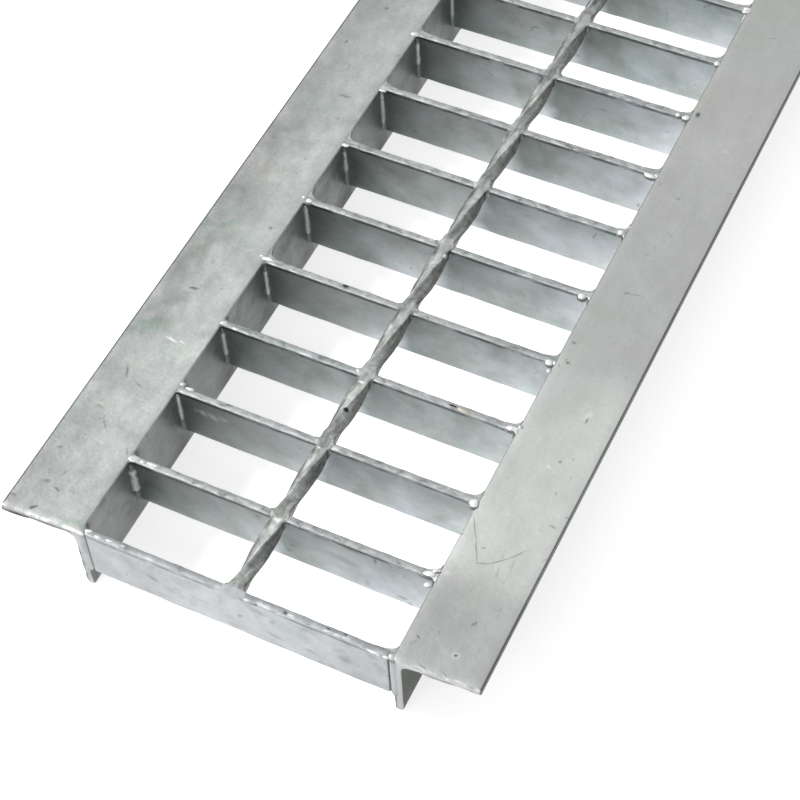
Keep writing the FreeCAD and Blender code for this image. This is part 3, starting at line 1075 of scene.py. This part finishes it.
# Lumps of spatter and zinc at the first bars' ends, from the photograph: column and row in
# pixels, then length, width and height in mm, turn in degrees and how bright, as pale zinc with a painted
# highlight
LEFT_LUMPS = {
    0: [(81, 533, 2.6, 1.4, 0.5, 0, 0.6), (89, 531, 3.2, 1.5, 0.6, 10, 0.6), (98, 537, 3.4, 1.3, 0.5, 0, 0.5),
        (110, 541, 4.2, 1.2, 0.4, 0, 0.4), (122, 546, 3.4, 1.2, 0.4, 0, 0.4)],
    1: [(134, 459, 4.8, 3.0, 0.5, 20, 0.3), (152, 465, 4.8, 1.4, 0.6, 0, 0.8),
        (142, 462, 2.6, 1.6, 0.6, 0, 0.6)],
    2: [(183, 384, 2.4, 1.8, 0.5, 0, 0.3), (190, 389, 3.4, 1.5, 0.6, 0, 0.5)],
    3: [(224, 323, 3.6, 2.4, 0.5, 0, 0.4), (236, 329, 4.0, 1.3, 0.5, 0, 0.4)],
    4: [(268, 259, 5.6, 1.9, 0.9, 5, 1.0), (262, 256, 1.6, 1.2, 0.6, 0, 0.7)],
    5: [(309, 201, 3.2, 2.3, 0.8, 0, 0.9), (304, 197, 1.8, 1.6, 0.4, 0, 0.4)],
    6: [(346, 145, 3.4, 1.7, 0.6, 0, 0.6)],
    7: [(383, 90, 3.2, 1.7, 0.5, 0, 0.4)],
}
RIGHT_LUMPS = {
    0: [(374, 652, 4.6, 1.0, 0.5, 0, 0.6), (386, 657, 2.6, 1.2, 0.5, 0, 0.5)],
    1: [(430, 574, 5.4, 2.5, 1.0, 15, 1.0), (428, 585, 3.0, 2.4, 0.9, 0, 0.5),
        (437, 571, 2.8, 1.6, 0.7, 20, 0.8)],
    2: [(474, 503, 3.7, 3.4, 1.3, 0, 0.9)],
    3: [(513, 429, 5.4, 2.3, 1.0, 10, 1.0), (521, 427, 2.0, 1.8, 0.8, 0, 0.1)],
    4: [(549, 363, 3.4, 3.0, 1.2, 0, 0.8), (549, 371, 2.2, 1.8, 0.8, 0, 0.3)],
    5: [(582, 297, 3.2, 2.9, 1.2, 0, 1.0)],
    6: [(621, 233, 3.2, 2.7, 1.2, 30, 0.9), (629, 228, 4.2, 1.1, 0.6, 40, 0.4)],
    7: [(650, 176, 5.6, 2.3, 1.1, -5, 1.0)],
    8: [(686, 118, 2.9, 2.8, 1.2, 0, 1.0), (678, 115, 2.4, 2.2, 1.0, 0, 0.8)],
}

# Lumps brighter than this have a flat dark collar round them, as painted shade
COLLAR_FROM = 0.6

# Bars with a dark corner behind them at the left leg, painted shade on the fillet there, the beads with
# upper rings in painted shade by their places within every five bars, and how many rings of them are shaded
SHADED_CORNERS = (0, 1, 3)
SHADED_BEADS = (1, 3, 4)
SHADED_RINGS = 4

# Reach of the hollow fillets behind the first bars along the bar and along the leg, in mm
LEFT_FILLETS = {
    0: (1.8, 2.6), 1: (1.8, 2.2), 2: (3.0, 3.6), 3: (1.8, 2.6), 4: (5.0, 6.4), 5: (5.0, 6.4),
    6: (4.0, 6.0),
}
RIGHT_FILLETS = {
    0: (8.0, 3.4), 1: (6.4, 4.4), 2: (6.0, 4.0), 3: (6.0, 3.4), 4: (5.4, 3.4), 5: (4.6, 3.0),
}

# Greatest width of the bead that the photograph shows as a thick one, at its bar on the left
THICK_BEAD = {(-1, 1): 2.0 * MM}


def add_bead(mesh_data, side, index, draw):
    """Bead down the corner in front of a bar, uneven in width and run out at its lower end."""
    corner_x = side * LEG_FACE
    corner_y = bar_middle(index) - BAR_THICKNESS / 2
    upper = TOP - draw.uniform(0.6, 2.2) * MM
    lower = upper - draw.uniform(15.0, 20.0) * MM
    usual = draw.uniform(0.75, 1.35) * MM
    widest = THICK_BEAD.get((side, index), usual)
    seed = draw.random() * 40
    rings = []
    for row in range(BEAD_ROWS + 1):
        share = row / BEAD_ROWS
        z = upper + (lower - upper) * share
        shape = min(1.0, share * 9) * (0.45 + 0.55 * share) * min(1.0, (1 - share) * 6)
        radius = 0.25 * MM + widest * math.sqrt(max(0.0, shape)) * (1 + ripple((share, seed, 0), 0.16, 0.40))
        ring = []
        for column in range(BEAD_AROUND):
            angle = 2 * math.pi * column / BEAD_AROUND
            x = corner_x - side * (0.35 * MM + radius * math.cos(angle))
            y = corner_y - 0.35 * MM - radius * math.sin(angle)
            ring.append(Vector((x, y, z)))
        rings.append(ring)
    add_rings(mesh_data, rings)


def add_hollow_fillet(mesh_data, side, index, reaches, depth, rows=10, arc=10):
    """Hollow fillet across the top of the corner behind a bar, thinning downward."""
    sunk = 0.2 * MM
    corner_x = side * (LEG_FACE + sunk)
    corner_y = bar_middle(index) + BAR_THICKNESS / 2 - sunk
    rings = []
    for row in range(rows + 1):
        share = row / rows
        z = TOP - 0.08 * MM - share * depth
        lip = 0.35 * MM * max(0.0, 1 - share * 8)
        shrink = 1 - 0.8 * share ** 1.4
        on_bar, on_leg = (max(0.3 * MM, reach * shrink - lip) for reach in reaches)
        ring = [Vector((corner_x, corner_y, z))]
        for step in range(arc + 1):
            angle = math.pi / 2 * step / arc
            across = on_bar * (1 - math.sin(angle)) + sunk
            along = on_leg * (1 - math.cos(angle)) + sunk
            wobble = 1 + ripple((across + index, along, z), 3 * MM, 0.12)
            ring.append(Vector((corner_x - side * across * wobble, corner_y + along * wobble, z)))
        rings.append(ring)
    add_rings(mesh_data, rings)


def add_lump(mesh_data, place, radii, turn, seed, rows=14, around=20):
    """Uneven lump of weld metal and zinc, half sunk in what carries it."""
    rings = []
    for row in range(1, rows):
        polar = math.pi * row / rows
        ring = []
        for column in range(around):
            angle = 2 * math.pi * column / around
            along = math.sin(polar) * math.cos(angle)
            across = math.sin(polar) * math.sin(angle)
            up = math.cos(polar)
            rough = 1 + ripple((along + seed, across, up), 1.3, 0.34)
            local = Vector((along * radii[0] * rough, across * radii[1] * rough, up * radii[2]))
            local.rotate(Matrix.Rotation(turn, 3, "Z"))
            ring.append(place + local)
        rings.append(ring)
    add_rings(mesh_data, rings)


def drawn_lumps(side, index, draw):
    """Lumps at a bar's end that the photograph doesn't show, in its manner."""
    lumps = []
    for _ in range(draw.choice((1, 1, 2))):
        x = side * (LEG_FACE - draw.uniform(-0.6, 1.6) * MM)
        y = bar_middle(index) - draw.uniform(0.2, 1.4) * MM
        length = draw.uniform(2.6, 5.2)
        size = (length, draw.uniform(1.6, 2.8), draw.uniform(0.6, 1.2))
        lumps.append((Vector((x, y, TOP)), size, draw.uniform(-0.3, 0.3), draw.uniform(0.3, 1.0)))
    return lumps


def seen_lumps(rows):
    """Lumps at a bar's end that the photograph shows, from a table's rows."""
    return [
        (seen_point(column, row), (length, width, height), math.radians(turn), bright)
        for column, row, length, width, height, turn, bright in rows
    ]


def welds_skin(side):
    """All welds between the bars and one leg."""
    draw = random.Random(71 + side)
    seen = RIGHT_LUMPS if side > 0 else LEFT_LUMPS
    fillets = RIGHT_FILLETS if side > 0 else LEFT_FILLETS
    mesh_data = ([], [])
    highlight_and_pale_zinc = []
    painted_shade = []

    def mark(bright, dark=0.0):
        """Gives the points added last their pale zinc and highlight, and their painted shade."""
        added = len(mesh_data[0]) - len(highlight_and_pale_zinc)
        highlight_and_pale_zinc.extend([bright] * added)
        painted_shade.extend([dark] * added)

    for index in range(BAR_COUNT):
        if index != 0:
            add_bead(mesh_data, side, index, draw)
            mark(draw.uniform(0.35, 0.8))
            if index % 5 in SHADED_BEADS:
                first = len(painted_shade) - BEAD_AROUND * (BEAD_ROWS + 1)
                dark_points = SHADED_RINGS * BEAD_AROUND
                painted_shade[first:first + dark_points] = [0.9] * dark_points
        if index != BAR_COUNT - 1:
            usual = (draw.choice((3.0, 4.2, 5.2, 6.2)), draw.uniform(2.8, 4.4))
            reaches = [reach * MM for reach in fillets.get(index, usual)]
            add_hollow_fillet(mesh_data, side, index, reaches, draw.uniform(5.0, 8.0) * MM)
            mark(0.0, 0.8 if side < 0 and index in SHADED_CORNERS else 0.0)
        lumps = seen_lumps(seen[index]) if index in seen else drawn_lumps(side, index, draw)
        for place, size, turn, bright in lumps:
            long, wide, high = (extent * MM / 2 for extent in size)
            sunk = place - Vector((0, 0, 0.15 * MM))
            seed = draw.random() * 30
            add_lump(mesh_data, sunk, (long, wide, high * 1.5), turn, seed)
            mark(bright)
            if bright > COLLAR_FROM:
                # A flat collar under a bright lump, coloured as painted shade round it
                collar = sunk + Vector((0.2 * MM, -0.45 * MM, -0.1 * MM))
                add_lump(mesh_data, collar, (long + 0.5 * MM, wide + 0.5 * MM, 0.35 * MM), turn, seed)
                mark(0.0, 0.9)
    node = "welds_right" if side > 0 else "welds_left"
    piece = make_piece(node + "_skin", mesh_data, WELD_ZINC, [node])
    keep_values(piece, "highlight_and_pale_zinc", highlight_and_pale_zinc)
    keep_values(piece, "painted_shade", painted_shade)
    return piece


# Floor, lights and world

def lifted_white(nodes, surface, strength):
    """Adds a white glow to what the camera and mirrors see of a surface."""
    seen = 0.0
    for ray in ("Is Camera Ray", "Is Glossy Ray", "Is Transmission Ray"):
        seen = nodes.maths("MAXIMUM", seen, nodes.node("ShaderNodeLightPath", output=ray))
    glow = nodes.node("ShaderNodeEmission", {"Strength": nodes.both(seen, strength)})
    return nodes.node("ShaderNodeAddShader", {0: surface, 1: glow})


def make_floor():
    """Plain white floor that keeps a faint shadow."""
    material, tree, shader = node_tree("floor_white")
    shader.inputs["Base Color"].default_value = (*FLOOR_COLOUR, 1)
    shader.inputs["Roughness"].default_value = 0.9
    nodes = Nodes(tree)
    shown = lifted_white(nodes, shader.outputs[0], FLOOR_LIFT)
    nodes.link(shown, tree.nodes["Material Output"].inputs["Surface"])
    corners = [(x * FLOOR_HALF, y * FLOOR_HALF, 0) for x, y in ((-1, -1), (1, -1), (1, 1), (-1, 1))]
    mesh = bpy.data.meshes.new("floor")
    mesh.from_pydata(corners, [], [(0, 1, 2, 3)])
    mesh.materials.append(material)
    floor = bpy.data.objects.new("floor", mesh)
    bpy.context.scene.collection.objects.link(floor)


def area_light(name, direction, size, power):
    """Soft square lamp that shines on the grating from a direction."""
    data = bpy.data.lights.new(name, "AREA")
    data.shape = "SQUARE"
    data.size = size
    data.energy = power
    lamp = bpy.data.objects.new(name, data)
    away = Vector(direction).normalized()
    lamp.location = Vector(LAMP_TARGET) + away * LAMP_DISTANCE
    lamp.rotation_mode = "QUATERNION"
    lamp.rotation_quaternion = (-away).to_track_quat("-Z", "Y")
    bpy.context.scene.collection.objects.link(lamp)


def make_lights():
    """A key from the left, a weak fill from the front and a pale sky."""
    area_light("key", KEY_DIRECTION, KEY_SIZE, KEY_POWER)
    area_light("fill", FILL_DIRECTION, FILL_SIZE, FILL_POWER)
    world = bpy.data.worlds.new("studio")
    bpy.context.scene.world = world
    world.use_nodes = True
    nodes = Nodes(world.node_tree)
    background = world.node_tree.nodes["Background"]
    background.inputs["Color"].default_value = (1, 1, 1, 1)
    camera_ray = nodes.node("ShaderNodeLightPath", output="Is Camera Ray")
    nodes.link(nodes.maths("MAXIMUM", camera_ray, SKY), background.inputs["Strength"])


make_camera()
make_floor()
make_lights()
for side in (-1, 1):
    angle_skin(side)
    welds_skin(side)
for index in range(BAR_COUNT):
    bar_skin(index)
rod_skin()

bpy.context.scene.view_settings.view_transform = "Standard"
